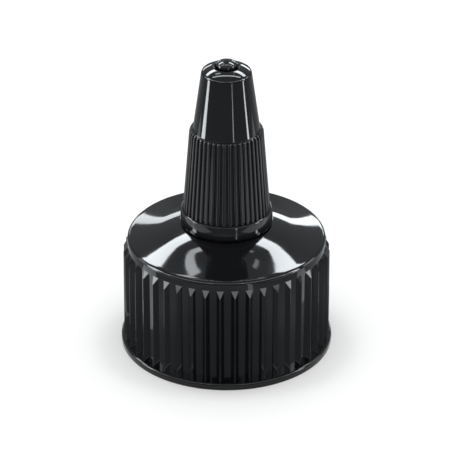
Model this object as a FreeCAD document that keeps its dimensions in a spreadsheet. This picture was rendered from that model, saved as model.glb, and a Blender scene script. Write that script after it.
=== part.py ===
import FreeCAD, Part
from enum import IntEnum
import os
import Sketcher

# Twist-open dosing cap for a 28 mm bottle neck: a ribbed screw cap with a spout post, and the tip that turns on it.
# Millimetres, +Z up, origin at the centre of the bottom ring.

SIZES = {
    # Neck and skirt
    "neck_wall_radius": 14.0,
    "mouth_chamfer": 0.35,
    "land_step": 0.3,
    "thread_gap": 0.21,
    "skirt_wall": 0.88,
    "rim_overhang": 1.12,
    "rim_height": 1.02,
    "rim_edge": 0.25,
    "band_height": 1.51,
    "band_edge": 0.6,
    # Grip ridges of the skirt
    "ridge_count": 44,
    "ridge_depth": 0.63,
    "ridge_base": 1.15,
    "ridge_root": 0.3,
    "ridge_draft": 0.2,
    "ridge_facet_drop": 1.11,
    # Deck
    "deck_edge_height": 17.76,
    "deck_bend_radius": 9.75,
    "deck_bend_rise": 1.32,
    "deck_hollow": 52.0,
    "deck_shoulder": 27.7,
    "seat_inset": 0.37,
    "seat_rise": 0.86,
    "deck_wall": 1.25,
    # Neck seals
    "mouth_width": 2.8,
    "plug_wall": 0.95,
    "plug_length": 3.1,
    "plug_lead": 0.3,
    "bead_inset": 1.5,
    "bead_size": 0.4,
    # Spout post
    "post_radius": 4.3,
    "post_wall": 1.0,
    "post_length": 11.06,
    "post_chamfer": 0.35,
    "stop_bead_depth": 0.45,
    "stop_bead_width": 0.9,
    "stop_clearance": 0.13,
    "seal_bead_drop": 1.6,
    "seal_bead_depth": 0.15,
    "seal_bead_width": 0.6,
    # Spokes and pin
    "spoke_count": 3,
    "spoke_width": 1.0,
    "spoke_height": 3.4,
    "pin_radius": 1.22,
    "pin_root_step": 0.48,
    "pin_rise": 0.31,
    # Twist tip, outside
    "seat_gap": 0.18,
    "tip_travel": 3.0,
    "tip_wall": 1.7,
    "collar_ledge": 0.47,
    "collar_height": 2.26,
    "collar_edge": 0.16,
    "grip_height": 13.07,
    "grip_taper": 1.03,
    "rib_count": 44,
    "rib_base_width": 0.58,
    "rib_top_width": 0.48,
    "rib_depth": 0.3,
    "rib_foot": 0.15,
    "rib_end_slope": 0.55,
    "nozzle_ledge": 0.2,
    "nozzle_height": 9.2,
    "nozzle_taper": 1.27,
    "crown_height": 0.4,
    "crown_land": 0.61,
    # Twist tip, inside
    "outlet_clearance": 0.05,
    "outlet_land": 1.0,
    "countersink_width": 0.6,
    "countersink_depth": 0.6,
    "channel_wall": 1.1,
    "channel_funnel": 1.05,
    "channel_step": 0.6,
    "running_clearance": 0.05,
    "post_headroom": 1.6,
    "bore_shoulder": 1.4,
    "relief_depth": 0.35,
    "relief_room": 0.57,
    "relief_chamfer": 0.3,
    "lip_length": 1.1,
}

SHEET = "Sizes"
XY_PLANE = "XY_Plane"
XZ_PLANE = "XZ_Plane"


class At(IntEnum):
    """Names for the sketcher's numbers: the ends of a line, the origin and the upright axis."""

    START = 1
    END = 2
    ORIGIN = -1
    UPRIGHT = -2


class Size:
    """A length of the sheet, or one worked out from such lengths, with the formula that binds it."""

    def __init__(self, value, formula):
        self.value = float(value)
        self.formula = formula

    @staticmethod
    def of(other):
        """Returns a Size for a Size or for a plain factor."""
        return other if isinstance(other, Size) else Size(other, repr(float(other)))

    def joined(self, sign, other, value):
        return Size(value, "(%s %s %s)" % (self.formula, sign, Size.of(other).formula))

    def __add__(self, other):
        return self.joined("+", other, self.value + Size.of(other).value)

    def __sub__(self, other):
        return self.joined("-", other, self.value - Size.of(other).value)

    def __mul__(self, other):
        return self.joined("*", other, self.value * Size.of(other).value)

    def __truediv__(self, other):
        return self.joined("/", other, self.value / Size.of(other).value)


def size(alias):
    """Returns the named length of the sheet."""
    return Size(SIZES[alias], "%s.%s" % (SHEET, alias))


def make_sheet(doc):
    """Writes every driving dimension to the spreadsheet, one alias a row."""
    sheet = doc.addObject("Spreadsheet::Sheet", SHEET)
    for row, (alias, value) in enumerate(SIZES.items(), start=1):
        sheet.set("A%d" % row, alias)
        sheet.set("B%d" % row, str(value))
        sheet.setAlias("B%d" % row, alias)
    doc.recompute()
    return sheet


def make_body(doc, label):
    """Returns an empty body whose label names its file."""
    body = doc.addObject("PartDesign::Body", label)
    body.Label = label
    body.Placement = FreeCAD.Placement()
    return body


def origin_feature(body, role):
    """Returns the plane or axis of the body's own origin with that role."""
    return next(f for f in body.Origin.OriginFeatures if f.Role == role)


def new_sketch(body, name, role, height=None):
    """Returns a sketch on an origin plane of the body, raised to a height where one is given."""
    sketch = body.newObject("Sketcher::SketchObject", name)
    sketch.AttachmentSupport = [(origin_feature(body, role), "")]
    sketch.MapMode = "FlatFace"
    if height is not None:
        sketch.AttachmentOffset = FreeCAD.Placement(FreeCAD.Vector(0, 0, height.value), FreeCAD.Rotation())
        sketch.setExpression("AttachmentOffset.Base.z", height.formula)
    return sketch


def bind(sketch, kind, geometry, point, length):
    """Ties one coordinate of a point to a length, or puts the point on the axis where the length is nought."""
    if length.value == 0.0:
        axis = At.UPRIGHT if kind == "DistanceX" else At.ORIGIN
        sketch.addConstraint(Sketcher.Constraint("PointOnObject", geometry, point, axis))
        return
    index = sketch.addConstraint(Sketcher.Constraint(kind, At.ORIGIN, At.START, geometry, point, length.value))
    sketch.setExpression("Constraints[%d]" % index, length.formula)


class Corner:
    """A corner of an outline: its radius and height."""

    def __init__(self, x, y):
        self.x = Size.of(x)
        self.y = Size.of(y)

    @property
    def point(self):
        return FreeCAD.Vector(self.x.value, self.y.value, 0)


class Bend:
    """An arc from one corner to the next: its radius, the side it bulges to, and the tangents it keeps."""

    def __init__(self, radius, side, fix_radius=True, tangent_before=False, tangent_after=False):
        self.radius = Size.of(radius)
        self.side = side
        self.fix_radius = fix_radius
        self.tangent_before = tangent_before
        self.tangent_after = tangent_after


def arc_between(start, end, radius, side):
    """Returns the shorter arc of that radius from start to end, centred on the left (side 1) or right (-1)."""
    chord = end - start
    half = chord.Length / 2
    rise = max(radius * radius - half * half, 0.0) ** 0.5
    left = FreeCAD.Vector(-chord.y, chord.x, 0).normalize()
    centre = start + chord * 0.5 + left * (rise * side)
    bulge = (start + chord * 0.5 - centre).normalize() * radius
    if rise == 0.0:
        bulge = left * (-side * radius)
    return Part.Arc(start, centre + bulge, end)


def draw_outline(sketch, corners, bends=None):
    """Draws a closed outline through the corners, with an arc after each corner that bends names."""
    bends = bends or {}
    count = len(corners)
    ends = []
    for i, corner in enumerate(corners):
        start = corner.point
        end = corners[(i + 1) % count].point
        bend = bends.get(i)
        if bend is None:
            geometry = sketch.addGeometry(Part.LineSegment(start, end), False)
            ends.append((geometry, At.START, At.END))
            continue
        arc = arc_between(start, end, bend.radius.value, bend.side)
        geometry = sketch.addGeometry(arc, False)
        first = sketch.getPoint(geometry, At.START)
        turned = (first - start).Length > (first - end).Length
        ends.append((geometry, At.END, At.START) if turned else (geometry, At.START, At.END))
    for i in range(count):
        geometry, _, leaving = ends[i]
        following, entering, _ = ends[(i + 1) % count]
        before, after = bends.get(i), bends.get((i + 1) % count)
        smooth = (before and before.tangent_after) or (after and after.tangent_before)
        kind = "Tangent" if smooth else "Coincident"
        sketch.addConstraint(Sketcher.Constraint(kind, geometry, leaving, following, entering))
    for i, corner in enumerate(corners):
        geometry, entering, _ = ends[i]
        bind(sketch, "DistanceX", geometry, entering, corner.x)
        bind(sketch, "DistanceY", geometry, entering, corner.y)
        bend = bends.get(i)
        if bend is not None and bend.fix_radius:
            index = sketch.addConstraint(Sketcher.Constraint("Radius", geometry, bend.radius.value))
            sketch.setExpression("Constraints[%d]" % index, bend.radius.formula)


def turn(body, name, kind, sketch):
    """Turns a sketch right round the body's Z axis, as a Revolution or a Groove."""
    feature = body.newObject("PartDesign::" + kind, name)
    feature.Profile = sketch
    feature.ReferenceAxis = (sketch, ["V_Axis"])
    feature.Angle = 360.0
    return feature


def pattern(body, name, feature, count):
    """Repeats a feature evenly round the Z axis."""
    copies = body.newObject("PartDesign::PolarPattern", name)
    copies.Originals = [feature]
    copies.Axis = (origin_feature(body, "Z_Axis"), [""])
    copies.Angle = 360.0
    copies.Occurrences = int(count.value)
    copies.setExpression("Occurrences", count.formula)
    body.Tip = copies
    return copies


# Radii that more than one outline uses

AXIS = Size(0, "0")
WALL = size("neck_wall_radius") + size("skirt_wall")
CREST = WALL + size("ridge_depth")
LAND = size("neck_wall_radius") - size("land_step")
PLUG = LAND - size("mouth_width")
POST_BORE = size("post_radius") - size("post_wall")
TIP_BORE = size("post_radius") + size("seal_bead_depth") + size("running_clearance")
GRIP_ROOT = TIP_BORE + size("tip_wall")
GRIP_CREST = GRIP_ROOT + size("rib_depth")
GRIP_CREST_TOP = GRIP_CREST - size("grip_taper")
GRIP_ROOT_TOP = GRIP_CREST_TOP - size("rib_depth")
COLLAR = GRIP_CREST + size("collar_ledge")
NOZZLE_BASE = GRIP_ROOT_TOP - size("nozzle_ledge")
NOZZLE_TIP = NOZZLE_BASE - size("nozzle_taper")
OUTLET = size("pin_radius") + size("outlet_clearance")

# Heights that more than one outline uses

RIDGE_TOP = size("deck_edge_height") - size("band_height")
DECK_BEND = size("deck_edge_height") + size("deck_bend_rise")
SEAT = DECK_BEND + size("seat_rise")
ROOF_EDGE = size("deck_edge_height") - size("deck_wall")
PLUG_TIP = ROOF_EDGE - size("plug_length")
POST_TOP = SEAT + size("post_length")
SPOKE_BASE = POST_TOP - size("spoke_height")
TIP_BASE = SEAT + size("seat_gap")
LIP_TOP = TIP_BASE + size("lip_length")
STOP_BEAD = LIP_TOP + size("tip_travel") + size("stop_clearance")
STOP_BEAD_END = STOP_BEAD + size("stop_bead_width")
GRIP_BASE = TIP_BASE + size("collar_height")
GRIP_TOP = GRIP_BASE + size("grip_height")
NOZZLE_END = GRIP_TOP + size("nozzle_height")
TIP_TOP = NOZZLE_END + size("crown_height")
LAND_BASE = TIP_TOP - size("countersink_depth") - size("outlet_land")
FUNNEL_BASE = LAND_BASE - size("channel_funnel")


def shell_outline(sketch):
    """Section of the screw cap without its ridges: ring, skirt, deck, post, plug ring and neck wall."""
    neck = size("neck_wall_radius")
    rim = WALL + size("rim_overhang")
    rim_top = size("rim_height")
    rim_edge = size("rim_edge")
    band_edge = size("band_edge")
    band_top = size("deck_edge_height")
    post = size("post_radius")
    stop = post + size("stop_bead_depth")
    seal = post + size("seal_bead_depth")
    seal_base = POST_TOP - size("seal_bead_drop")
    seal_end = seal_base + size("seal_bead_width")
    plug_in = PLUG - size("plug_wall")
    plug_lead = size("plug_lead")
    thread_top = PLUG_TIP - size("thread_gap")
    corners = [
        Corner(neck + size("mouth_chamfer"), AXIS),
        Corner(rim - rim_edge, AXIS),
        Corner(rim, rim_edge),
        Corner(rim, rim_top - rim_edge),
        Corner(rim - rim_edge, rim_top),
        Corner(WALL, rim_top),
        Corner(WALL, band_top - band_edge),
        Corner(WALL - band_edge * 0.21, band_top - band_edge * 0.38),
        Corner(WALL - band_edge * 0.76, band_top - band_edge * 0.03),
        Corner(size("deck_bend_radius"), DECK_BEND),
        Corner(COLLAR - size("seat_inset"), SEAT),
        Corner(post, SEAT),
        Corner(post, STOP_BEAD),
        Corner(stop, STOP_BEAD + size("stop_bead_depth") * 0.3),
        Corner(stop, STOP_BEAD_END - size("stop_bead_depth")),
        Corner(post, STOP_BEAD_END),
        Corner(post, seal_base),
        Corner(seal, seal_base + size("seal_bead_depth")),
        Corner(seal, seal_end - size("seal_bead_depth")),
        Corner(post, seal_end),
        Corner(post, POST_TOP - size("post_chamfer")),
        Corner(post - size("post_chamfer"), POST_TOP),
        Corner(POST_BORE, POST_TOP),
        Corner(POST_BORE, SEAT - size("deck_wall")),
        Corner(plug_in, DECK_BEND - size("deck_wall") - plug_lead * 0.5),
        Corner(plug_in, PLUG_TIP),
        Corner(PLUG - plug_lead, PLUG_TIP),
        Corner(PLUG, PLUG_TIP + plug_lead * 3.0),
        Corner(PLUG, ROOF_EDGE + size("mouth_width") * 0.25),
        Corner(LAND, ROOF_EDGE),
        Corner(LAND, thread_top + size("land_step") * 2.0),
        Corner(neck, thread_top),
        Corner(neck, size("mouth_chamfer")),
    ]
    bends = {
        8: Bend(size("deck_hollow"), -1),
        9: Bend(size("deck_shoulder"), 1),
    }
    draw_outline(sketch, corners, bends)


def pin_outline(sketch):
    """Half section of the central pin, from its root between the spokes to its domed end."""
    radius = size("pin_radius")
    root = radius + size("pin_root_step")
    dome = TIP_TOP + size("pin_rise")
    corners = [
        Corner(AXIS, SPOKE_BASE),
        Corner(root, SPOKE_BASE),
        Corner(root, POST_TOP),
        Corner(radius, FUNNEL_BASE),
        Corner(radius, dome),
        Corner(AXIS, dome + radius),
    ]
    draw_outline(sketch, corners, {4: Bend(radius, 1, fix_radius=False, tangent_before=True)})


def draw_mirrored(sketch, corners):
    """Draws an outline that is the same on both sides of the X axis, from its corners above that axis."""
    points = [corner.point for corner in corners]
    points += [FreeCAD.Vector(p.x, -p.y, 0) for p in reversed(points) if p.y > 0]
    count = len(points)
    lines = []
    for i in range(count):
        line = Part.LineSegment(points[i], points[(i + 1) % count])
        lines.append(sketch.addGeometry(line, False))
    for i in range(count):
        following = lines[(i + 1) % count]
        sketch.addConstraint(Sketcher.Constraint("Coincident", lines[i], At.END, following, At.START))
    for i, corner in enumerate(corners):
        bind(sketch, "DistanceX", lines[i], At.START, corner.x)
        bind(sketch, "DistanceY", lines[i], At.START, corner.y)
        if corner.y.value > 0:
            opposite = lines[count - 1 - i]
            sketch.addConstraint(Sketcher.Constraint("Symmetric", lines[i], At.START, opposite, At.START, At.ORIGIN))


def ridge_outline(sketch):
    """Section of one grip ridge: a blunt triangle whose foot lies inside the skirt."""
    depth = size("ridge_depth")
    foot = size("ridge_root")
    half = size("ridge_base") * 0.5 * (depth + foot) / depth
    draw_mirrored(sketch, [Corner(WALL - foot, half), Corner(CREST, AXIS)])


def ridge_cut_outline(sketch):
    """Section of the turned cut that slopes the tops of the ridges down to their crests."""
    drop = size("ridge_facet_drop")
    depth = size("ridge_depth")
    corners = [
        Corner(WALL, RIDGE_TOP),
        Corner(WALL + depth * 2.0, RIDGE_TOP - drop * 2.0),
        Corner(WALL + depth * 2.0, RIDGE_TOP),
    ]
    draw_outline(sketch, corners)


def seal_outline(sketch):
    """Section of the small bead under the deck that lands on the bottle's mouth."""
    bead = size("bead_size")
    centre = LAND - size("bead_inset")
    corners = [
        Corner(centre - bead * 2.0, ROOF_EDGE + bead * 3.0),
        Corner(centre - bead * 0.5, ROOF_EDGE - bead),
        Corner(centre + bead * 0.5, ROOF_EDGE - bead),
        Corner(centre + bead * 2.0, ROOF_EDGE + bead * 3.0),
    ]
    draw_outline(sketch, corners)


def spoke_outline(sketch):
    """Section of one spoke, from the axis into the post's wall."""
    half = size("spoke_width") * 0.5
    reach = POST_BORE + size("post_wall") * 0.5
    low = FreeCAD.Vector(0, -half.value, 0)
    high = FreeCAD.Vector(reach.value, half.value, 0)
    lines = [
        sketch.addGeometry(Part.LineSegment(low, FreeCAD.Vector(high.x, low.y, 0)), False),
        sketch.addGeometry(Part.LineSegment(FreeCAD.Vector(high.x, low.y, 0), high), False),
        sketch.addGeometry(Part.LineSegment(high, FreeCAD.Vector(0, high.y, 0)), False),
        sketch.addGeometry(Part.LineSegment(FreeCAD.Vector(0, high.y, 0), low), False),
    ]
    for i, line in enumerate(lines):
        sketch.addConstraint(Sketcher.Constraint("Coincident", line, At.END, lines[(i + 1) % 4], At.START))
    sketch.addConstraint(Sketcher.Constraint("Horizontal", lines[0]))
    sketch.addConstraint(Sketcher.Constraint("Vertical", lines[1]))
    sketch.addConstraint(Sketcher.Constraint("Symmetric", lines[3], At.START, lines[3], At.END, At.ORIGIN, At.START))
    bind(sketch, "DistanceX", lines[1], At.END, reach)
    bind(sketch, "DistanceY", lines[1], At.END, half)


def make_screw_cap(doc):
    """Builds the screw cap: turned shell, spokes and pin, then the ring of ridges with their sloped tops."""
    body = make_body(doc, "screw_cap")
    shell = new_sketch(body, "shell_section", XZ_PLANE)
    shell_outline(shell)
    turn(body, "shell", "Revolution", shell)
    doc.recompute()

    bead = new_sketch(body, "seal_section", XZ_PLANE)
    seal_outline(bead)
    turn(body, "seal_ring", "Revolution", bead)

    spoke_sketch = new_sketch(body, "spoke_section", XY_PLANE, SPOKE_BASE)
    spoke_outline(spoke_sketch)
    spoke = body.newObject("PartDesign::Pad", "spoke")
    spoke.Profile = spoke_sketch
    spoke.Length = SIZES["spoke_height"]
    spoke.setExpression("Length", size("spoke_height").formula)
    pattern(body, "spokes", spoke, size("spoke_count"))
    doc.recompute()

    pin = new_sketch(body, "pin_section", XZ_PLANE)
    pin_outline(pin)
    turn(body, "pin", "Revolution", pin)
    doc.recompute()

    ridge_sketch = new_sketch(body, "ridge_section", XY_PLANE, size("rim_height"))
    ridge_outline(ridge_sketch)
    ridge = body.newObject("PartDesign::Pad", "ridge")
    ridge.Profile = ridge_sketch
    ridge_length = RIDGE_TOP - size("rim_height")
    ridge.Length = ridge_length.value
    ridge.setExpression("Length", ridge_length.formula)
    ridge.TaperAngle = -SIZES["ridge_draft"]
    ridge.setExpression("TaperAngle", "-" + size("ridge_draft").formula)
    pattern(body, "ridges", ridge, size("ridge_count"))
    doc.recompute()

    cut = new_sketch(body, "ridge_top_section", XZ_PLANE)
    ridge_cut_outline(cut)
    turn(body, "ridge_tops", "Groove", cut)
    doc.recompute()
    return body


def tip_outline(sketch):
    """Section of the twist tip without its ribs: collar, grip, nozzle, outlet, channel, bore and lip."""
    collar_edge = size("collar_edge")
    countersink = OUTLET + size("countersink_width")
    crown_end = countersink + size("crown_land")
    crown_height = size("crown_height")
    crown_width = NOZZLE_TIP - crown_end
    crown_radius = (crown_width * crown_width + crown_height * crown_height) / (crown_height * 2.0)
    channel_end = NOZZLE_TIP + crown_height * 0.6 - size("channel_wall")
    bore_top = POST_TOP + size("post_headroom")
    relief = TIP_BORE + size("relief_depth")
    relief_top = STOP_BEAD_END + size("relief_room")
    corners = [
        Corner(TIP_BORE, TIP_BASE),
        Corner(COLLAR - collar_edge, TIP_BASE),
        Corner(COLLAR, TIP_BASE + collar_edge),
        Corner(COLLAR, GRIP_BASE - collar_edge),
        Corner(COLLAR - collar_edge, GRIP_BASE),
        Corner(GRIP_ROOT, GRIP_BASE),
        Corner(GRIP_ROOT_TOP, GRIP_TOP),
        Corner(NOZZLE_BASE, GRIP_TOP),
        Corner(NOZZLE_TIP, NOZZLE_END),
        Corner(crown_end, TIP_TOP),
        Corner(countersink, TIP_TOP),
        Corner(OUTLET, TIP_TOP - size("countersink_depth")),
        Corner(OUTLET, LAND_BASE),
        Corner(channel_end, FUNNEL_BASE),
        Corner(TIP_BORE - size("channel_step"), bore_top + size("bore_shoulder")),
        Corner(TIP_BORE, bore_top),
        Corner(TIP_BORE, relief_top),
        Corner(relief, relief_top - size("relief_chamfer")),
        Corner(relief, LIP_TOP + size("relief_chamfer")),
        Corner(TIP_BORE, LIP_TOP),
    ]
    draw_outline(sketch, corners, {8: Bend(crown_radius, 1, fix_radius=False, tangent_after=True)})


def rib_outline(sketch, crest, width):
    """Section of one rib: a bar whose outer side is three flats, as near round as its size needs."""
    half = width * 0.5
    foot = crest - size("rib_depth") - size("rib_foot")
    shoulder = crest - half * 0.42
    corners = [
        Corner(foot, half),
        Corner(shoulder, half),
        Corner(crest, half * 0.42),
    ]
    draw_mirrored(sketch, corners)


def rib_end_outline(sketch):
    """Section of the turned cut that slopes the upper ends of the ribs down to the ledge."""
    depth = size("rib_depth")
    end_slope = size("rib_end_slope")
    corners = [
        Corner(GRIP_ROOT_TOP, GRIP_TOP),
        Corner(GRIP_ROOT_TOP + depth * 1.2, GRIP_TOP - end_slope),
        Corner(GRIP_ROOT_TOP + depth * 3.0, GRIP_TOP - end_slope),
        Corner(GRIP_ROOT_TOP + depth * 3.0, GRIP_TOP),
    ]
    draw_outline(sketch, corners)


def make_twist_tip(doc):
    """Builds the twist tip: turned body, then the ring of tapering ribs with sloped upper ends."""
    body = make_body(doc, "twist_tip")
    section = new_sketch(body, "tip_section", XZ_PLANE)
    tip_outline(section)
    turn(body, "tip", "Revolution", section)
    doc.recompute()

    foot = new_sketch(body, "rib_foot", XY_PLANE, GRIP_BASE - size("collar_edge"))
    rib_outline(foot, GRIP_CREST, size("rib_base_width"))
    head = new_sketch(body, "rib_head", XY_PLANE, GRIP_TOP)
    rib_outline(head, GRIP_CREST_TOP, size("rib_top_width"))
    rib = body.newObject("PartDesign::AdditiveLoft", "rib")
    rib.Profile = foot
    rib.Sections = [head]
    rib.Ruled = True
    pattern(body, "ribs", rib, size("rib_count"))
    doc.recompute()

    cut = new_sketch(body, "rib_end_section", XZ_PLANE)
    rib_end_outline(cut)
    turn(body, "rib_ends", "Groove", cut)
    doc.recompute()
    return body


def check_document(doc, bodies):
    """Stops where an object failed to compute or a piece is not one sound solid."""
    for item in doc.Objects:
        if "Invalid" in item.State or "Error" in item.State:
            raise RuntimeError("%s did not compute: %s" % (item.Name, item.State))
    for body in bodies:
        shape = body.Shape
        if shape.isNull() or not shape.isValid():
            raise RuntimeError("%s has no sound shape" % body.Label)
        if len(shape.Solids) != 1:
            raise RuntimeError("%s is not one solid" % body.Label)


def main():
    """Builds both pieces and writes each to its own file."""
    doc = FreeCAD.newDocument("dosing_cap")
    make_sheet(doc)
    bodies = [make_screw_cap(doc), make_twist_tip(doc)]
    doc.recompute()
    check_document(doc, bodies)
    os.makedirs("parts", exist_ok=True)
    for body in bodies:
        body.Shape.exportStep(os.path.join("parts", body.Label + ".step"))
        box = body.Shape.BoundBox
        print("%s: volume %.1f mm3, height %.2f to %.2f" % (body.Label, body.Shape.Volume, box.ZMin, box.ZMax))


main()
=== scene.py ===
import logging
import math
from dataclasses import dataclass
from enum import Enum
from typing import Callable, Sequence

import bmesh
import bpy
from mathutils import Matrix, Vector


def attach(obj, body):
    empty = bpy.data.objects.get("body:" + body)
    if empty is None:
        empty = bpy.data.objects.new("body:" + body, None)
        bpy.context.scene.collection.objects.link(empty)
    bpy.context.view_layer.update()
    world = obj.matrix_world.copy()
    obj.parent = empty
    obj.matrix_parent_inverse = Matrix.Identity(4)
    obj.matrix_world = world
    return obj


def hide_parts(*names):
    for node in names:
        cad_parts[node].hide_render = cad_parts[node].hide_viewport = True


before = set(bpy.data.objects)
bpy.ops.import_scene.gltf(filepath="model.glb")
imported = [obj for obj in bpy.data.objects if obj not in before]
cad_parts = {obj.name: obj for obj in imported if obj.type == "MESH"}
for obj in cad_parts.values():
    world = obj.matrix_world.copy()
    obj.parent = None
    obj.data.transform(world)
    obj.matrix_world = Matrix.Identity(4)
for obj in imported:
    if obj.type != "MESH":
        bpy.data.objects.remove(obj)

# Twist-open dosing cap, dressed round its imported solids.
# Sizes in the classes are in millimetres; finished meshes are in metres.

LOG = logging.getLogger("dosing_cap")
MM = 0.001
UP = Vector((0.0, 0.0, 1.0))
MERGE = 0.0004
SHARP_ANGLE = math.radians(25.0)
SHADING_WEIGHT = 60

STUDIO_TINT = (0.95, 1.0, 1.03)
# Glow of the cards, painted light seen only in reflections: height and glow of the walls, then distance and
# glow of the floor card, in metres.
CARD_WALL_GLOW = ((0.0, 0.12), (0.035, 0.18), (0.13, 0.45), (0.40, 0.55))
CARD_GROUND_GLOW = ((0.010, 0.36), (0.020, 0.42), (0.029, 0.72), (0.045, 0.40))

Point = tuple[float, float]
Section = tuple[Point, ...]


class Seen(Enum):
    """What a lamp serves: the reflections in the gloss, or the light that falls on the floor."""

    GLOSS = "gloss"
    DIFFUSE = "diffuse"


class Side(Enum):
    """Which side of its chord an arc bulges to."""

    OUT = 1
    IN = -1


def arc(start: Point, end: Point, radius: float, side: Side, steps: int) -> list[Point]:
    """Runs along an arc of a section, from one point to another.

    Args:
        start: Radius and height of the arc's start, which is left out of the result.
        end: Radius and height of the arc's end.
        radius: The arc's own radius.
        side: The side of the chord that the arc bulges to.
        steps: How many points to return.

    Returns:
        The points after the start, the end among them.
    """
    a, b = Vector(start), Vector(end)
    chord = b - a
    rise = math.sqrt(max(radius * radius - chord.length_squared / 4.0, 0.0))
    left = Vector((-chord.y, chord.x)).normalized()
    centre = (a + b) / 2.0 + left * rise * side.value
    first = math.atan2(a.y - centre.y, a.x - centre.x)
    last = math.atan2(b.y - centre.y, b.x - centre.x)
    turn = math.remainder(last - first, math.tau)
    angles = [first + turn * (i + 1) / steps for i in range(steps)]
    return [(centre.x + radius * math.cos(t), centre.y + radius * math.sin(t)) for t in angles]


@dataclass(frozen=True)
class Soft:
    """A corner of a section to be rounded: where it lies, how wide the round is, and its segments."""

    radius: float
    height: float
    width: float
    segments: int = 4


def bevel_edges(bm: bmesh.types.BMesh, edges: Sequence, width: float, segments: int) -> None:
    """Rounds edges by the same width.

    Args:
        bm: The mesh that holds the edges.
        edges: The edges to round.
        width: Width of the round.
        segments: Number of faces across it.
    """
    bmesh.ops.bevel(
        bm,
        geom=list(edges),
        offset=width,
        offset_type="OFFSET",
        segments=segments,
        profile=0.5,
        affect="EDGES",
        clamp_overlap=True,
        material=-1,
    )


def on_ring(vert: bmesh.types.BMVert, radius: float, height: float) -> bool:
    """Tells whether a vertex lies on the ring of that radius and height."""
    return abs(math.hypot(vert.co.x, vert.co.y) - radius) < MERGE and abs(vert.co.z - height) < MERGE


def turned_skin(section: Sequence[Point], rounds: Sequence[Soft], steps: int) -> bmesh.types.BMesh:
    """Draws a section, rounds its corners and turns it right round the Z axis.

    Args:
        section: Radius and height of each corner, in order.
        rounds: The corners to round.
        steps: Number of steps in the turn.

    Returns:
        The skin, in millimetres.
    """
    bm = bmesh.new()
    verts = [bm.verts.new((r, 0.0, z)) for r, z in section]
    for pair in zip(verts, verts[1:]):
        bm.edges.new(pair)
    for soft in rounds:
        bmesh.ops.bevel(
            bm,
            geom=[v for v in bm.verts if on_ring(v, soft.radius, soft.height)],
            offset=soft.width,
            offset_type="OFFSET",
            segments=soft.segments,
            profile=0.5,
            affect="VERTICES",
            clamp_overlap=True,
            material=-1,
        )
    bmesh.ops.spin(
        bm,
        geom=bm.verts[:] + bm.edges[:],
        cent=(0.0, 0.0, 0.0),
        axis=UP,
        dvec=(0.0, 0.0, 0.0),
        angle=math.tau,
        steps=steps,
        use_merge=True,
    )
    bmesh.ops.remove_doubles(bm, verts=bm.verts, dist=MERGE)
    return bm


def add_skin(bm: bmesh.types.BMesh, other: bmesh.types.BMesh) -> None:
    """Moves another skin into a mesh, and frees it."""
    mesh = bpy.data.meshes.new("joined")
    other.to_mesh(mesh)
    other.free()
    bm.from_mesh(mesh)
    bpy.data.meshes.remove(mesh)


def open_rim(bm: bmesh.types.BMesh, height: float) -> list:
    """Returns the open edges that lie at a height."""
    return [e for e in bm.edges if e.is_boundary and all(abs(v.co.z - height) < MERGE for v in e.verts)]


def lay_ledge(bm: bmesh.types.BMesh, height: float) -> None:
    """Joins the two open rings at a height by a flat ledge."""
    bmesh.ops.bridge_loops(bm, edges=open_rim(bm, height))


def copy_round(bm: bmesh.types.BMesh, count: int) -> None:
    """Copies a mesh round the Z axis.

    Args:
        bm: The mesh, which becomes the first copy.
        count: How many copies fill the turn.
    """
    bmesh.ops.spin(
        bm,
        geom=bm.verts[:] + bm.edges[:] + bm.faces[:],
        cent=(0.0, 0.0, 0.0),
        axis=UP,
        dvec=(0.0, 0.0, 0.0),
        angle=math.tau * (count - 1) / count,
        steps=count - 1,
        use_duplicate=True,
    )


def finish_mesh(bm: bmesh.types.BMesh, name: str) -> bpy.types.Object:
    """Turns a finished bmesh in millimetres into an object in metres.

    Args:
        bm: The mesh, which is freed.
        name: Name of the new object.

    Returns:
        The new object, at the origin.
    """
    bmesh.ops.remove_doubles(bm, verts=bm.verts, dist=MERGE)
    bmesh.ops.dissolve_degenerate(bm, dist=MERGE / 4.0, edges=bm.edges)
    bmesh.ops.recalc_face_normals(bm, faces=bm.faces)
    bmesh.ops.scale(bm, vec=(MM, MM, MM), verts=bm.verts)
    for face in bm.faces:
        face.smooth = True
    for edge in bm.edges:
        edge.smooth = edge.calc_face_angle(0.0) < SHARP_ANGLE
    mesh = bpy.data.meshes.new(name)
    bm.to_mesh(mesh)
    open_edges = sum(1 for e in bm.edges if not e.is_manifold)
    LOG.info("%s: %d faces, %d open edges", name, len(bm.faces), open_edges)
    bm.free()
    piece = bpy.data.objects.new(name, mesh)
    bpy.context.scene.collection.objects.link(piece)
    weighted = piece.modifiers.new("even_shading", "WEIGHTED_NORMAL")
    weighted.keep_sharp = True
    weighted.weight = SHADING_WEIGHT
    return piece


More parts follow.
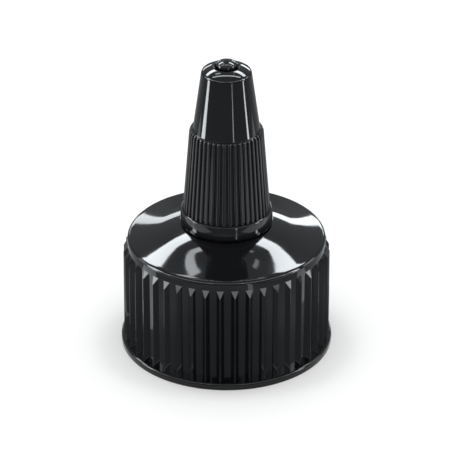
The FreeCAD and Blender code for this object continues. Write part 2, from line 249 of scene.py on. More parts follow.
class Sector:
    """One pitch of a moulding that repeats round the Z axis, grown level by level."""

    def __init__(self, count: int) -> None:
        """Starts an empty sector.

        Args:
            count: How many pitches make the whole turn.
        """
        self.count = count
        self.half = math.pi / count
        self.bm = bmesh.new()

    def start(self, corners: Sequence[Point], height: float) -> list:
        """Draws the first level as a chain of edges.

        Args:
            corners: Angle and radius of each corner, in order.
            height: Height of the level.

        Returns:
            The chain's edges.
        """
        verts = [self.bm.verts.new((r * math.cos(a), r * math.sin(a), height)) for a, r in corners]
        return [self.bm.edges.new(pair) for pair in zip(verts, verts[1:])]

    def grow(self, edges: Sequence, place: Callable[[float, float], Point]) -> list:
        """Extrudes a chain of edges to its next level.

        Args:
            edges: The chain.
            place: Gives the new radius and height from a vertex's angle and radius.

        Returns:
            The new level's edges.
        """
        made = bmesh.ops.extrude_edge_only(self.bm, edges=list(edges))["geom"]
        verts = {v for v in made if isinstance(v, bmesh.types.BMVert)}
        for vert in verts:
            angle = math.atan2(vert.co.y, vert.co.x)
            radius, height = place(angle, math.hypot(vert.co.x, vert.co.y))
            vert.co = (radius * math.cos(angle), radius * math.sin(angle), height)
        return [e for e in made if isinstance(e, bmesh.types.BMEdge) and set(e.verts) <= verts]

    def follow(self, edges: Sequence, path: Sequence[Point]) -> list:
        """Extrudes a chain through plain rings.

        Args:
            edges: The chain.
            path: Radius and height of each ring.

        Returns:
            The last ring's edges.
        """
        for radius, height in path:
            edges = self.grow(edges, lambda _a, _r, ring=(radius, height): ring)
        return list(edges)

    def rim_at(self, height: float) -> list:
        """Returns the sector's open edges at a height."""
        return open_rim(self.bm, height)

    def ring(self) -> bmesh.types.BMesh:
        """Copies the sector round the axis and joins the copies.

        Returns:
            The whole mesh.
        """
        bmesh.ops.remove_doubles(self.bm, verts=self.bm.verts, dist=MERGE)
        copy_round(self.bm, self.count)
        bmesh.ops.remove_doubles(self.bm, verts=self.bm.verts, dist=MERGE)
        return self.bm


@dataclass(frozen=True)
class Thread:
    """A helical ridge on a round wall: its wall, crest, pitch, turns, flanks and faded ends."""

    wall: float
    crest: float
    start_height: float
    pitch: float
    turns: float
    root_width: float
    crest_width: float
    sink: float = 0.1
    fade: float = 30.0
    end_height: float = 0.12
    edge_round: float = 0.12
    steps_a_turn: int = 72

    def build(self, name: str) -> bpy.types.Object:
        """Winds the ridge as a right-hand helix with faded ends.

        Args:
            name: Name of the piece.

        Returns:
            The new object.
        """
        inward = 1.0 if self.crest < self.wall else -1.0
        foot = self.wall + inward * self.sink
        root, crest = self.root_width / 2.0, self.crest_width / 2.0
        corners = [(foot, -root), (self.crest, -crest), (self.crest, crest), (foot, root)]
        bm = bmesh.new()
        verts = [bm.verts.new((r, 0.0, self.start_height + z)) for r, z in corners]
        edges = [bm.edges.new((verts[i - 1], verts[i])) for i in range(len(verts))]
        start = bm.faces.new(verts)
        steps = round(self.steps_a_turn * self.turns)
        bmesh.ops.spin(
            bm,
            geom=verts + edges + [start],
            cent=(0.0, 0.0, 0.0),
            axis=UP,
            dvec=(0.0, 0.0, self.pitch * self.turns / steps),
            angle=math.tau * self.turns,
            steps=steps,
        )
        self.fade_ends(bm, foot)
        bmesh.ops.recalc_face_normals(bm, faces=bm.faces)
        long_edges = [e for e in bm.edges if self.runs_along_crest(e)]
        bevel_edges(bm, long_edges, self.edge_round, 3)
        return finish_mesh(bm, name)

    def fade_ends(self, bm: bmesh.types.BMesh, foot: float) -> None:
        """Sinks the crest into the wall near both ends.

        Args:
            bm: The wound ridge.
            foot: Radius of the ridge's sunk foot.
        """
        length = self.pitch * self.turns
        span = self.pitch * self.fade / 360.0
        for vert in bm.verts:
            radius = math.hypot(vert.co.x, vert.co.y)
            if abs(radius - self.crest) > MERGE:
                continue
            along = vert.co.z - self.start_height
            share = min(max(min(along, length - along) / span, 0.0), 1.0)
            ease = math.sin(share * math.pi / 2.0)
            target = foot + (self.crest - foot) * (self.end_height + (1.0 - self.end_height) * ease)
            vert.co.x *= target / radius
            vert.co.y *= target / radius

    def runs_along_crest(self, edge: bmesh.types.BMEdge) -> bool:
        """Tells whether an edge follows the helix along its crest."""
        foot_side = [abs(math.hypot(v.co.x, v.co.y) - self.wall) < self.sink * 1.5 for v in edge.verts]
        a, b = edge.verts
        turn = abs(math.atan2(a.co.y, a.co.x) - math.atan2(b.co.y, b.co.x))
        return not any(foot_side) and turn > math.radians(1.0)


@dataclass(frozen=True)
class GlossPlastic:
    """Gloss-moulded black polypropylene, with the faint unevenness of a polished tool."""

    name: str
    colour: tuple[float, float, float] = (0.0038, 0.0040, 0.0045)
    roughness: float = 0.045
    roughness_spread: float = 0.025
    ior: float = 1.38
    tint_spread: float = 1.35
    cloud_scale: float = 260.0
    cloud_low: float = 0.35
    cloud_high: float = 0.7
    wave_scale: float = 420.0
    grain_scale: float = 5200.0
    ripple: float = 0.000003
    grain: float = 0.0000004

    def build(self) -> bpy.types.Material:
        """Makes the node material.

        Returns:
            The material.
        """
        material = bpy.data.materials.new(self.name)
        material.use_nodes = True
        nodes, links = material.node_tree.nodes, material.node_tree.links
        shader = nodes["Principled BSDF"]
        shader.inputs["IOR"].default_value = self.ior
        cloud = self.noise(material, self.cloud_scale, 5.0)
        gloss = nodes.new("ShaderNodeMapRange")
        gloss.inputs["From Min"].default_value = self.cloud_low
        gloss.inputs["From Max"].default_value = self.cloud_high
        gloss.inputs["To Min"].default_value = self.roughness
        gloss.inputs["To Max"].default_value = self.roughness + self.roughness_spread
        links.new(cloud.outputs["Fac"], gloss.inputs["Value"])
        links.new(gloss.outputs["Result"], shader.inputs["Roughness"])

        tint = nodes.new("ShaderNodeValToRGB")
        tint.color_ramp.elements[0].color = (*self.colour, 1.0)
        tint.color_ramp.elements[1].color = (*(c * self.tint_spread for c in self.colour), 1.0)
        links.new(cloud.outputs["Fac"], tint.inputs["Fac"])
        links.new(tint.outputs["Color"], shader.inputs["Base Color"])

        ripple = self.bump(material, self.noise(material, self.wave_scale, 2.0), self.ripple)
        fine = self.bump(material, self.noise(material, self.grain_scale, 3.0), self.grain)
        links.new(ripple.outputs["Normal"], fine.inputs["Normal"])
        links.new(fine.outputs["Normal"], shader.inputs["Normal"])
        return material

    def noise(self, material: bpy.types.Material, scale: float, detail: float) -> bpy.types.Node:
        """Adds a noise on the piece's own coordinates.

        Args:
            material: The material that gets the noise.
            scale: Its scale.
            detail: Its detail.

        Returns:
            The noise's node.
        """
        nodes, links = material.node_tree.nodes, material.node_tree.links
        place = nodes.new("ShaderNodeTexCoord")
        noise = nodes.new("ShaderNodeTexNoise")
        noise.inputs["Scale"].default_value = scale
        noise.inputs["Detail"].default_value = detail
        links.new(place.outputs["Object"], noise.inputs["Vector"])
        return noise

    def bump(self, material: bpy.types.Material, noise: bpy.types.Node, depth: float) -> bpy.types.Node:
        """Adds a bump that follows a noise.

        Args:
            material: The material that gets the bump.
            noise: The noise.
            depth: Depth of the bump, in metres.

        Returns:
            The bump's node.
        """
        bump = material.node_tree.nodes.new("ShaderNodeBump")
        bump.inputs["Strength"].default_value = 1.0
        bump.inputs["Distance"].default_value = depth
        material.node_tree.links.new(noise.outputs["Fac"], bump.inputs["Height"])
        return bump


def dress(piece: bpy.types.Object, material: bpy.types.Material, body: str) -> None:
    """Gives a piece its finish and its body.

    Args:
        piece: The piece.
        material: Its finish.
        body: The body that it rides on.
    """
    piece.data.materials.clear()
    piece.data.materials.append(material)
    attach(piece, body)
    LOG.info("%s rides on %s", piece.name, body)


@dataclass
class ScrewCap:
    """The moulding that screws on the neck: ring, ridged skirt, deck, post, spokes, pin and seals."""

    neck: float = 14.0
    mouth_chamfer: float = 0.35
    land: float = 13.7
    thread_top: float = 13.2
    land_rise: float = 0.6
    wall: float = 14.88
    rim: float = 15.99
    rim_top: float = 1.02
    rim_round: float = 0.25
    rim_foot: float = 0.06
    ledge: float = 15.62
    ridges: int = 44
    ridge_crest: float = 15.66
    ridge_half: float = 2.25
    ridge_shrink: float = 0.073
    ridge_top: float = 16.25
    facet_drop: float = 1.11
    crest_round: float = 0.17
    crest_margin: float = 0.3
    deck_edge: float = 17.76
    band_round: float = 0.6
    band_lean: float = 76.0
    bend: Point = (9.75, 19.08)
    deck_hollow: float = 52.0
    deck_shoulder: float = 27.7
    seat: Point = (6.6, 19.94)
    post: float = 4.3
    post_bore: float = 3.3
    deck_wall: float = 1.25
    seal_bead: Section = ((12.648, 16.772), (12.4, 16.11), (12.0, 16.11), (11.657, 17.02))
    plug_ring: Section = ((10.9, 17.21), (10.9, 14.31), (10.6, 13.41), (9.95, 13.41), (9.95, 17.68))
    roof_at_post: float = 18.69
    post_top: float = 31.0
    top_bead: Section = ((4.3, 30.0), (4.45, 29.85), (4.45, 29.55), (4.3, 29.4))
    stop_bead: Section = ((4.3, 25.25), (4.75, 24.8), (4.75, 24.485), (4.3, 24.35))
    seat_overlap: float = 0.6
    spokes: int = 3
    spoke_width: float = 1.0
    spoke_base: float = 27.6
    spoke_start: float = 0.6
    spoke_round: float = 0.15
    pin: float = 1.48
    pin_root: float = 1.7
    pin_neck: float = 42.4
    pin_end: float = 46.43
    pin_dome: float = 3.0
    pin_edge: float = 0.2
    steps: int = 176

    def ridged_wall(self) -> Sector:
        """Builds one pitch of the skirt: a ridge with its sloped top, and the smooth band above.

        The foot of the ridge's top spans half the pitch, so the rings above it are evenly divided.

        Returns:
            The sector, open at the rim's top and at the foot of the band's round.
        """
        sector = Sector(self.ridges)
        bm = sector.bm
        half = math.radians(self.ridge_half)
        land = (sector.half + half) / 2.0
        right = {half: 0.5, land: 0.75, sector.half: 1.0}
        left = {-angle: -share for angle, share in reversed(right.items())}
        lower = {**left, 0.0: 0.0, **right}
        chain = sector.start([(a, self.wall if a else self.ridge_crest) for a in lower], self.rim_top)
        top = self.ridge_top
        crest_top = (self.ridge_crest - self.ridge_shrink, top - self.facet_drop)
        upper = sector.grow(chain, lambda _a, r: crest_top if r > self.wall + MERGE else (self.wall, top))
        for vert in {v for e in upper for v in e.verts}:
            angle = math.atan2(vert.co.y, vert.co.x)
            even = min(lower.items(), key=lambda item: abs(item[0] - angle))[1] * sector.half
            radius = math.hypot(vert.co.x, vert.co.y)
            vert.co.x, vert.co.y = radius * math.cos(even), radius * math.sin(even)
        edge_of_foot = math.sin(sector.half * 0.5) * self.wall + MERGE
        feet = {v for e in upper for v in e.verts if abs(v.co.y) < edge_of_foot}
        facet = bmesh.ops.contextual_create(bm, geom=list(feet))["faces"][0]
        brow = next(e for e in facet.edges if all(abs(v.co.z - top) < MERGE for v in e.verts))
        made = bmesh.ops.subdivide_edges(bm, edges=[brow], cuts=3)["geom_inner"]
        brow_verts = sorted((v for v in made if isinstance(v, bmesh.types.BMVert)), key=lambda v: v.co.y)
        for index, vert in enumerate(brow_verts):
            angle = sector.half * 0.25 * (index - 1)
            vert.co.x, vert.co.y = self.wall * math.cos(angle), self.wall * math.sin(angle)
        line = self.wall + self.crest_margin
        crest = [e for e in bm.edges if all(math.hypot(*v.co.xy) > line for v in e.verts)]
        bevel_edges(bm, crest, self.crest_round, 4)
        sector.follow(sector.rim_at(top), [(self.wall, self.deck_edge - self.band_round)])
        return sector

    def sleeve(self) -> bmesh.types.BMesh:
        """Builds the ridged skirt, the band and the deck as one skin, open at the rim and at the seat.

        Returns:
            The skin.
        """
        sector = self.ridged_wall()
        band_end = self.deck_edge - self.band_round
        centre = self.wall - self.band_round
        lean = [math.radians(self.band_lean) * i / 8 for i in range(1, 9)]
        wide = self.band_round
        band = [(centre + wide * math.cos(t), band_end + wide * math.sin(t)) for t in lean]
        deck = arc(band[-1], self.bend, self.deck_hollow, Side.IN, 12)
        shoulder = arc(self.bend, self.seat, self.deck_shoulder, Side.OUT, 8)
        sector.follow(sector.rim_at(band_end), band + deck + shoulder)
        return sector.ring()

    def inner_skin(self) -> bmesh.types.BMesh:
        """Turns the rim, the mouth, the neck wall, the plug ring, the roof and the post.

        Returns:
            The skin, open at the rim's top and at the seat.
        """
        roof = self.deck_edge - self.deck_wall
        seat = self.seat[1]
        section = [
            (self.ledge, self.rim_top),
            (self.rim, self.rim_top),
            (self.rim, 0.0),
            (self.neck + self.mouth_chamfer, 0.0),
            (self.neck, self.mouth_chamfer),
            (self.neck, self.thread_top),
            (self.land, self.thread_top + self.land_rise),
            (self.land, roof),
            *self.seal_bead,
            *self.plug_ring,
            (self.post_bore, self.roof_at_post),
            (self.post_bore, self.post_top),
            (self.post, self.post_top),
            *self.top_bead,
            *self.stop_bead,
            (self.post, seat),
            (self.post + self.seat_overlap, seat),
        ]
        rounds = [
            Soft(self.rim, self.rim_top, self.rim_round),
            Soft(self.rim, 0.0, self.rim_foot),
            Soft(self.neck + self.mouth_chamfer, 0.0, 0.1),
            Soft(self.neck, self.mouth_chamfer, 0.12),
            Soft(self.land, roof, 0.4),
            Soft(*self.seal_bead[1], 0.15),
            Soft(*self.seal_bead[2], 0.15),
            Soft(*self.plug_ring[0], 0.3),
            Soft(*self.plug_ring[2], 0.15),
            Soft(*self.plug_ring[3], 0.2),
            Soft(*self.plug_ring[4], 0.5),
            Soft(self.post_bore, self.roof_at_post, 0.5),
            Soft(self.post_bore, self.post_top, 0.15),
            Soft(self.post, self.post_top, 0.35),
            Soft(*self.stop_bead[1], 0.12),
            Soft(*self.stop_bead[2], 0.12),
            Soft(self.post, seat, 0.2),
        ]
        return turned_skin(section, rounds, self.steps)

    def shell(self) -> bpy.types.Object:
        """Builds the moulding as one closed skin.

        Returns:
            The new object.
        """
        bm = self.sleeve()
        add_skin(bm, self.inner_skin())
        lay_ledge(bm, self.rim_top)
        lay_ledge(bm, self.seat[1])
        return finish_mesh(bm, "cap_moulding")

    def pin_piece(self) -> bpy.types.Object:
        """Builds the pin that closes the outlet, with its low domed end.

        Returns:
            The new object.
        """
        dome_foot = self.pin_end - self.pin_dome + math.sqrt(self.pin_dome**2 - self.pin**2)
        dome = arc((self.pin, dome_foot), (0.0, self.pin_end), self.pin_dome, Side.OUT, 8)
        section = [
            (0.0, self.spoke_base),
            (self.pin_root, self.spoke_base),
            (self.pin_root, self.post_top),
            (self.pin, self.pin_neck),
            (self.pin, dome_foot),
            *dome[:-1],
            (0.0, self.pin_end),
        ]
        rounds = [
            Soft(self.pin_root, self.spoke_base, 0.2),
            Soft(self.pin, dome_foot, self.pin_edge),
        ]
        return finish_mesh(turned_skin(section, rounds, self.steps // 2), "outlet_pin")

    def spoke_piece(self) -> bpy.types.Object:
        """Builds the spokes that hold the pin in the post.

        Returns:
            The new object.
        """
        bm = bmesh.new()
        height = self.post_top - self.spoke_base
        reach = (self.post_bore + self.post) / 2.0
        bmesh.ops.create_cube(bm, size=1.0)
        bmesh.ops.scale(bm, vec=(reach - self.spoke_start, self.spoke_width, height), verts=bm.verts)
        shift = ((reach + self.spoke_start) / 2.0, 0.0, self.spoke_base + height / 2.0)
        bmesh.ops.translate(bm, vec=shift, verts=bm.verts)
        long_edges = [e for e in bm.edges if abs(e.verts[0].co.x - e.verts[1].co.x) > 1.0]
        bevel_edges(bm, long_edges, self.spoke_round, 4)
        copy_round(bm, self.spokes)
        return finish_mesh(bm, "pin_spokes")

    def threads(self) -> list[bpy.types.Object]:
        """Winds the neck thread and the short coarse thread of the post.

        Returns:
            The new objects.
        """
        neck = Thread(
            wall=self.neck,
            crest=12.9,
            start_height=3.4,
            pitch=4.233,
            turns=1.5,
            root_width=2.2,
            crest_width=0.7,
        )
        post = Thread(
            wall=self.post,
            crest=4.42,
            start_height=25.7,
            pitch=4.0,
            turns=0.8,
            root_width=0.9,
            crest_width=0.35,
            fade=25.0,
            steps_a_turn=64,
        )
        return [neck.build("neck_thread"), post.build("post_thread")]

    def build(self, finish: bpy.types.Material) -> list[bpy.types.Object]:
        """Builds and dresses all pieces of the moulding.

        Args:
            finish: The plastic.

        Returns:
            The pieces.
        """
        shell = self.shell()
        pieces = [shell, self.pin_piece(), self.spoke_piece(), *self.threads()]
        for piece in pieces:
            dress(piece, finish, "screw_cap")
        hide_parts("screw_cap")
        return pieces


@dataclass
class TwistTip:
    """The tip that turns on the post: collar, ribbed grip, ledge, nozzle and outlet."""

    bore: float = 4.5
    base: float = 20.12
    collar: float = 6.97
    collar_top: float = 6.78
    collar_round: float = 0.18
    grip_base: float = 22.38
    grip_top: float = 35.45
    ribs: int = 44
    root_base: float = 6.2
    root_top: float = 5.17
    rib_depth: float = 0.3
    rib_half: float = 0.29
    rib_round: float = 0.2
    rib_foot_round: float = 0.04
    rib_end: float = 0.55
    rib_end_shares: tuple[float, ...] = (0.3, 0.55, 0.75, 0.9, 0.97, 1.0)
    nozzle_base: float = 4.97
    nozzle_slope: float = 0.138
    nozzle_end: float = 44.45
    crown_edge: float = 0.65
    crown_tilt: float = 30.0
    crown_radius: float = 5.0
    countersink: float = 1.87
    countersink_depth: float = 0.6
    outlet: float = 1.54
    outlet_foot: float = 43.45
    relief: Section = ((4.5, 21.22), (4.85, 21.52), (4.85, 25.52), (4.5, 25.82))
    channel: Section = ((4.5, 32.6), (3.9, 34.0), (2.84, 42.4))
    ledge_overlap: float = 0.25
    cone_overlap: float = 0.1
    steps: int = 176

    def ribbed_wall(self) -> Sector:
        """Builds one pitch of the grip, a tapering rib with a rounded upper end.

        Returns:
            The sector, open at the collar and at the ledge.
        """
        sector = Sector(self.ribs)
        crest = self.root_base + self.rib_depth
        foot = math.asin(self.rib_half / self.root_base)
        shoulder = math.atan2(self.rib_half, crest)
        angles = (-sector.half, -foot, -shoulder, shoulder, foot, sector.half)
        tall = math.hypot(self.rib_half, crest)
        radii = (self.root_base, self.root_base, tall, tall, self.root_base, self.root_base)
        chain = sector.start(list(zip(angles, radii)), self.grip_base)
        bend = self.grip_top - self.rib_end
        slope = (self.root_top - self.root_base) / (self.grip_top - self.grip_base)
        sector.grow(chain, lambda _a, r: (r + slope * (bend - self.grip_base), bend))
        bm = sector.bm
        standing = [e for e in bm.edges if abs(e.verts[0].co.z - e.verts[1].co.z) > 1.0 and not e.is_boundary]
        tops = [e for e in standing if math.hypot(*e.verts[0].co.xy) > self.rib_crest_at(e.verts[0].co.z)]
        feet = [e for e in standing if e not in tops]
        bevel_edges(bm, tops, self.rib_round, 4)
        bevel_edges(bm, [e for e in feet if e.is_valid], self.rib_foot_round, 1)
        edges = sector.rim_at(bend)
        tall_before, root_before = 1.0, self.root_base + slope * (bend - self.grip_base)
        for share in self.rib_end_shares:
            tall_now = math.sqrt(max(1.0 - share * share, 0.0))
            height = bend + self.rib_end * share
            root = self.root_base + slope * (height - self.grip_base)
            step = (root_before, root, tall_now / tall_before, height)
            edges = sector.grow(edges, lambda _a, r, g=step: (g[1] + (r - g[0]) * g[2], g[3]))
            tall_before, root_before = max(tall_now, 0.001), root
        return sector

    def rib_crest_at(self, height: float) -> float:
        """Returns a radius half-way up the rib at a height."""
        share = (height - self.grip_base) / (self.grip_top - self.grip_base)
        return self.root_base + (self.root_top - self.root_base) * share + self.rib_depth / 2.0

    def crown(self) -> list[Point]:
        """Works out the nozzle's rounded end, from the cone's end to the countersink.

        Returns:
            The points of its section: the edge's round, which leaves the cone smoothly, and the crowned top.
        """
        lean, tilt = math.atan(self.nozzle_slope), math.radians(self.crown_tilt)
        cone_radius = self.nozzle_base - self.nozzle_slope * (self.nozzle_end - self.grip_top)
        cone_end = Vector((cone_radius, self.nozzle_end))
        centre = cone_end - Vector((math.cos(lean), math.sin(lean))) * self.crown_edge
        join = centre + Vector((math.sin(tilt), math.cos(tilt))) * self.crown_edge
        middle = join - Vector((math.sin(tilt), math.cos(tilt))) * self.crown_radius
        width = self.countersink - middle.x
        end = (self.countersink, middle.y + math.sqrt(self.crown_radius**2 - width**2))
        edge = arc(tuple(cone_end), tuple(join), self.crown_edge, Side.OUT, 8)
        return [tuple(cone_end), *edge, *arc(tuple(join), end, self.crown_radius, Side.OUT, 7)]

    def turned_part(self) -> bmesh.types.BMesh:
        """Turns the collar, the bore, the channel, the outlet, the crown and the cone.

        Returns:
            The skin, open at the collar's top and at the ledge.
        """
        crown = self.crown()
        rim = crown[-1]
        seat = rim[1] - self.countersink_depth
        section = [
            (self.collar_top - self.ledge_overlap, self.grip_base),
            (self.collar_top, self.grip_base),
            (self.collar, self.base),
            (self.bore, self.base),
            *self.relief,
            *self.channel,
            (self.outlet, self.outlet_foot),
            (self.outlet, seat),
            *reversed(crown),
            (self.nozzle_base, self.grip_top),
            (self.nozzle_base + self.cone_overlap, self.grip_top),
        ]
        rounds = [
            Soft(self.collar_top, self.grip_base, self.collar_round),
            Soft(self.collar, self.base, self.collar_round),
            Soft(self.bore, self.base, 0.2),
            Soft(*rim, 0.1),
            Soft(self.outlet, seat, 0.08),
            Soft(self.nozzle_base, self.grip_top, 0.06),
        ]
        return turned_skin(section, rounds, self.steps)

    def shell(self) -> bpy.types.Object:
        """Builds the tip as one closed skin.

        Returns:
            The new object.
        """
        bm = self.ribbed_wall().ring()
        add_skin(bm, self.turned_part())
        lay_ledge(bm, self.grip_base)
        lay_ledge(bm, self.grip_top)
        return finish_mesh(bm, "twist_tip_moulding")

    def build(self, finish: bpy.types.Material) -> list[bpy.types.Object]:
        """Builds and dresses the tip.

        Args:
            finish: The plastic.

        Returns:
            The pieces.
        """
        shell = self.shell()
        dress(shell, finish, "twist_tip")
        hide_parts("twist_tip")
        return [shell]


@dataclass(frozen=True)
class Softbox:
    """A soft lamp, by the spot that it shines on and the direction in which that spot sees it.

    The azimuth runs from straight behind the object towards the camera's right.
    """

    name: str
    spot: tuple[float, float, float]
    azimuth: float
    elevation: float
    width: float
    height: float
    strength: float
    seen: Seen = Seen.GLOSS
    distance: float = 0.36

    def build(self, turn: float) -> bpy.types.Object:
        """Hangs the lamp and points it at its spot.

        Args:
            turn: Turn of the whole set about the Z axis, in degrees.

        Returns:
            The lamp.
        """
        azimuth, elevation = math.radians(self.azimuth), math.radians(self.elevation)
        flat, rise = self.distance * math.cos(elevation), self.distance * math.sin(elevation)
        away = Vector((math.sin(azimuth) * flat, math.cos(azimuth) * flat, rise))
        spot = Vector(self.spot) * MM
        set_turn = Matrix.Rotation(math.radians(turn), 4, "Z")
        data = bpy.data.lights.new(self.name, "AREA")
        data.shape = "RECTANGLE"
        data.size = self.width
        data.size_y = self.height
        data.energy = self.strength * self.width * self.height * math.pi
        data.color = STUDIO_TINT if self.seen is Seen.GLOSS else (1.0, 1.0, 1.0)
        lamp = bpy.data.objects.new(self.name, data)
        facing = away.to_track_quat("Z", "Y").to_matrix().to_4x4()
        lamp.matrix_world = set_turn @ Matrix.Translation(spot + away) @ facing
        lamp.visible_camera = False
        lamp.visible_diffuse = self.seen is Seen.DIFFUSE
        lamp.visible_glossy = self.seen is Seen.GLOSS
        bpy.context.scene.collection.objects.link(lamp)
        return lamp


@dataclass(frozen=True)
class FloorStrip:
    """A narrow lamp that lies on the floor and points at the object, seen only in its gloss."""

    name: str
    azimuth: float
    start: float
    end: float
    width: float
    strength: float
    height: float = 0.0008

    def build(self, turn: float) -> bpy.types.Object:
        """Lays the lamp down, facing up.

        Args:
            turn: Turn of the whole set about the Z axis, in degrees.

        Returns:
            The lamp.
        """
        data = bpy.data.lights.new(self.name, "AREA")
        data.shape = "RECTANGLE"
        data.size = self.width
        data.size_y = self.end - self.start
        data.energy = self.strength * data.size * data.size_y * math.pi
        data.color = STUDIO_TINT
        lamp = bpy.data.objects.new(self.name, data)
        place = Matrix.Translation((0.0, (self.start + self.end) / 2.0, self.height))
        round_axis = Matrix.Rotation(math.radians(turn - self.azimuth), 4, "Z")
        lamp.matrix_world = round_axis @ place @ Matrix.Rotation(math.pi, 4, "Y")
        lamp.visible_camera = False
        lamp.visible_diffuse = False
        bpy.context.scene.collection.objects.link(lamp)
        return lamp


@dataclass
class Studio:
    """Floor, surround, glowing grey cards, lamps and camera."""

    aim_height: float = 18.99
    distance: float = 436.8
    elevation: float = 28.81
    turn: float = 3.5
    lens: float = 232.4
    shift: float = -0.0011
    floor_size: float = 6.0
    tent_radius: float = 0.40
    tent_mouth: float = 0.0168
    tent_lift: float = 0.0004
    tent_squash: float = 0.55
    tent_bands: int = 12
    tent_steps: int = 48
    ground_top: float = 0.001
    floor_white: float = 0.93
    lamps: tuple[Softbox, ...] = (
        Softbox("back_left", (-10.0, 3.0, 18.0), -17.5, 16.2, 0.100, 0.036, 6.0),
        Softbox("back_right", (11.0, 3.0, 18.0), 17.5, 17.4, 0.100, 0.036, 10.0),
        Softbox("high_left", (-9.5, -5.0, 18.3), -31.0, 44.0, 0.180, 0.046, 19.0),
        Softbox("high_right", (9.5, -5.0, 18.3), 30.0, 49.2, 0.170, 0.048, 20.0),
        Softbox("top_left", (-5.0, -6.5, 18.5), -20.0, 56.7, 0.052, 0.024, 9.0),
        Softbox("top_right", (4.0, -5.5, 18.5), 18.5, 59.0, 0.020, 0.010, 4.0),
        Softbox("panel_left", (-3.0, -1.0, 44.0), -92.0, 18.0, 0.088, 0.30, 14.0),
        Softbox("panel_right", (3.0, -1.0, 44.0), 98.0, 18.0, 0.044, 0.30, 14.0),
        Softbox("side_left", (-9.0, -12.0, 16.0), -101.0, 25.5, 0.150, 0.055, 10.0),
        Softbox("side_back_left", (-13.0, -7.0, 16.0), -75.0, 16.0, 0.120, 0.055, 10.0),
        Softbox("side_right", (9.0, -12.0, 16.0), 101.0, 25.5, 0.150, 0.055, 10.0),
        Softbox("side_back_right", (13.0, -7.0, 16.0), 75.0, 16.0, 0.120, 0.055, 10.0),
        Softbox("front", (0.0, -15.2, 16.0), 180.0, 39.0, 0.280, 0.060, 4.0),
        Softbox("front_left", (-6.0, -14.0, 16.0), -136.0, 35.0, 0.270, 0.070, 4.5, distance=0.30),
        Softbox("front_right", (6.0, -14.0, 16.0), 136.0, 35.0, 0.270, 0.070, 4.5, distance=0.30),
        Softbox("crown_bar", (0.0, -2.9, 45.3), 0.0, 68.0, 0.044, 0.0030, 14.0, distance=0.040),
        Softbox("over_left", (0.0, 0.0, 30.0), -62.0, 74.0, 0.09, 0.06, 9.0, Seen.DIFFUSE),
        Softbox("over_right", (0.0, 0.0, 30.0), 62.0, 74.0, 0.09, 0.06, 9.0, Seen.DIFFUSE),
    )
    strips: tuple[FloorStrip, ...] = (
        FloorStrip("strip_left", -98.0, 0.120, 0.34, 0.034, 18.0),
        FloorStrip("strip_right", 104.0, 0.120, 0.34, 0.016, 18.0),
        FloorStrip("strip_front", 157.0, 0.120, 0.34, 0.008, 10.0),
        FloorStrip("low_left", -96.0, 0.022, 0.12, 0.014, 1.6),
        FloorStrip("low_right", 100.0, 0.030, 0.12, 0.008, 1.4),
        FloorStrip("low_front", 157.0, 0.040, 0.12, 0.004, 2.0),
        FloorStrip("wing_left", -100.0, 0.052, 0.115, 0.110, 1.3),
        FloorStrip("wing_right", 100.0, 0.052, 0.115, 0.110, 1.3),
    )

    @property
    def aim(self) -> Vector:
        """The point that the camera faces."""
        return Vector((0.0, 0.0, self.aim_height * MM))

    def camera(self) -> bpy.types.Object:
        """Sets the camera at the photograph's angle.

        Returns:
            The camera.
        """
        azimuth, elevation = math.radians(self.turn), math.radians(self.elevation)
        away = Vector(
            (
                math.sin(azimuth) * math.cos(elevation),
                -math.cos(azimuth) * math.cos(elevation),
                math.sin(elevation),
            )
        )
        data = bpy.data.cameras.new("camera")
        data.lens = self.lens
        data.sensor_width = 36.0
        data.clip_start = 0.01
        data.shift_x = self.shift
        camera = bpy.data.objects.new("camera", data)
        place = Matrix.Translation(self.aim + away * self.distance * MM)
        camera.matrix_world = place @ away.to_track_quat("Z", "Y").to_matrix().to_4x4()
        bpy.context.scene.collection.objects.link(camera)
        bpy.context.scene.camera = camera
        return camera

    def floor(self) -> bpy.types.Object:
        """Lays the pale floor.

        Returns:
            The floor.
        """
        bm = bmesh.new()
        bmesh.ops.create_grid(bm, x_segments=8, y_segments=8, size=self.floor_size / 2.0)
        mesh = bpy.data.meshes.new("floor")
        bm.to_mesh(mesh)
        bm.free()
        floor = bpy.data.objects.new("floor", mesh)
        bpy.context.scene.collection.objects.link(floor)
        material = bpy.data.materials.new("floor_white")
        material.use_nodes = True
        shader = material.node_tree.nodes["Principled BSDF"]
        shader.inputs["Base Color"].default_value = (*(self.floor_white,) * 3, 1.0)
        shader.inputs["Roughness"].default_value = 0.9
        mesh.materials.append(material)
        return floor

    def tent(self) -> bpy.types.Object:
        """Stands glowing grey cards round and under the object, which only its gloss shows. Their grey is
        emitted: painted light that stands in for a dim studio in the reflections.

        Returns:
            The cards.
        """
        bm = bmesh.new()
        ground = (self.tent_mouth, 0.05, 0.1, 0.2, self.tent_radius)
        section = [(radius, self.tent_lift) for radius in ground]
        for band in range(1, self.tent_bands + 1):
            lift = math.radians(90.0 * band / self.tent_bands)
            section.append((self.tent_radius * math.cos(lift), self.tent_radius * math.sin(lift)))
        section[-1] = (0.0, self.tent_radius)
        verts = [bm.verts.new((r, 0.0, z)) for r, z in section]
        edges = [bm.edges.new(pair) for pair in zip(verts, verts[1:])]
        bmesh.ops.spin(
            bm,
            geom=verts + edges,
            cent=(0.0, 0.0, 0.0),
            axis=UP,
            dvec=(0.0, 0.0, 0.0),
            angle=math.tau,
            steps=self.tent_steps,
            use_merge=True,
        )
        mesh = bpy.data.meshes.new("glowing_cards")
        bm.to_mesh(mesh)
        bm.free()
        tent = bpy.data.objects.new("glowing_cards", mesh)
        bpy.context.scene.collection.objects.link(tent)
        mesh.materials.append(self.card_glow())
        tent.visible_camera = False
        tent.visible_diffuse = False
        tent.visible_transmission = False
        tent.visible_shadow = False
        return tent

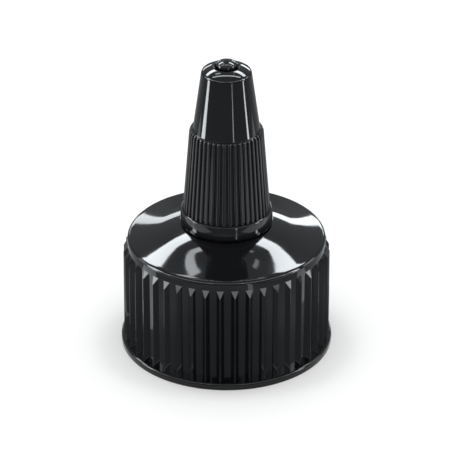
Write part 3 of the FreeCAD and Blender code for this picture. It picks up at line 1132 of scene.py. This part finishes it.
    def card_glow(self) -> bpy.types.Material:
        """Makes the cards' glow, painted light that is dimmest next to the floor; on the floor card it rises
        to a bright ring about 30 mm out at the sides and falls back beyond.

        Returns:
            The material.
        """
        material = bpy.data.materials.new("card_glow")
        material.use_nodes = True
        nodes, links = material.node_tree.nodes, material.node_tree.links
        nodes.remove(nodes["Principled BSDF"])
        place = nodes.new("ShaderNodeTexCoord")
        split = nodes.new("ShaderNodeSeparateXYZ")
        links.new(place.outputs["Object"], split.inputs[0])
        flat = nodes.new("ShaderNodeVectorMath")
        flat.operation = "MULTIPLY"
        flat.inputs[1].default_value = (1.0, self.tent_squash, 0.0)
        links.new(place.outputs["Object"], flat.inputs[0])
        length = nodes.new("ShaderNodeVectorMath")
        length.operation = "LENGTH"
        links.new(flat.outputs[0], length.inputs[0])
        walls = self.ramp(material.node_tree, split.outputs["Z"], CARD_WALL_GLOW)
        ground = self.ramp(material.node_tree, length.outputs["Value"], CARD_GROUND_GLOW)
        low = nodes.new("ShaderNodeMath")
        low.operation = "LESS_THAN"
        low.inputs[1].default_value = self.ground_top
        links.new(split.outputs["Z"], low.inputs[0])
        pick = nodes.new("ShaderNodeMix")
        pick.data_type = "RGBA"
        links.new(low.outputs[0], pick.inputs["Factor"])
        links.new(walls, pick.inputs["A"])
        links.new(ground, pick.inputs["B"])
        # The cards emit their grey: painted light from a sheet that is no lamp.
        glow = nodes.new("ShaderNodeEmission")
        links.new(pick.outputs["Result"], glow.inputs["Color"])
        links.new(glow.outputs[0], nodes["Material Output"].inputs["Surface"])
        return material

    def ramp(
        self,
        tree: bpy.types.NodeTree,
        source: bpy.types.NodeSocket,
        stops: Sequence[tuple[float, float]],
    ) -> bpy.types.NodeSocket:
        """Adds a ramp of the cards' glow, their painted light, over a length in metres.

        Args:
            tree: The material's nodes and links.
            source: The socket that gives the length.
            stops: Length and glow of each stop.

        Returns:
            The ramp's colour socket.
        """
        scale = tree.nodes.new("ShaderNodeMath")
        scale.operation = "DIVIDE"
        scale.inputs[1].default_value = self.tent_radius
        tree.links.new(source, scale.inputs[0])
        ramp = tree.nodes.new("ShaderNodeValToRGB")
        elements = ramp.color_ramp.elements
        for index, (length, glow_level) in enumerate(stops):
            where = length / self.tent_radius
            element = elements[index] if index < len(elements) else elements.new(where)
            element.position = where
            element.color = (*(glow_level * tint for tint in STUDIO_TINT), 1.0)
        tree.links.new(scale.outputs[0], ramp.inputs["Fac"])
        return ramp.outputs["Color"]

    def surround(self) -> None:
        """Makes the white surround, which is also the soft light from all sides."""
        world = bpy.data.worlds.new("surround")
        bpy.context.scene.world = world
        world.use_nodes = True
        light = world.node_tree.nodes["Background"]
        light.inputs["Color"].default_value = (1.0, 1.0, 1.0, 1.0)
        light.inputs["Strength"].default_value = 1.0

    def build(self) -> None:
        """Sets up the whole studio."""
        self.camera()
        self.floor()
        self.tent()
        self.surround()
        for lamp in (*self.lamps, *self.strips):
            lamp.build(self.turn)
        bpy.context.scene.view_settings.view_transform = "Standard"


def main() -> None:
    """Builds the pieces and the studio."""
    logging.basicConfig(level=logging.INFO, format="%(name)s: %(message)s")
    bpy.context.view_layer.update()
    finish = GlossPlastic("gloss_black")
    material = finish.build()
    pieces = ScrewCap().build(material) + TwistTip().build(material)
    LOG.info("%d pieces built", len(pieces))
    Studio().build()


if __name__ == "__main__":
    main()
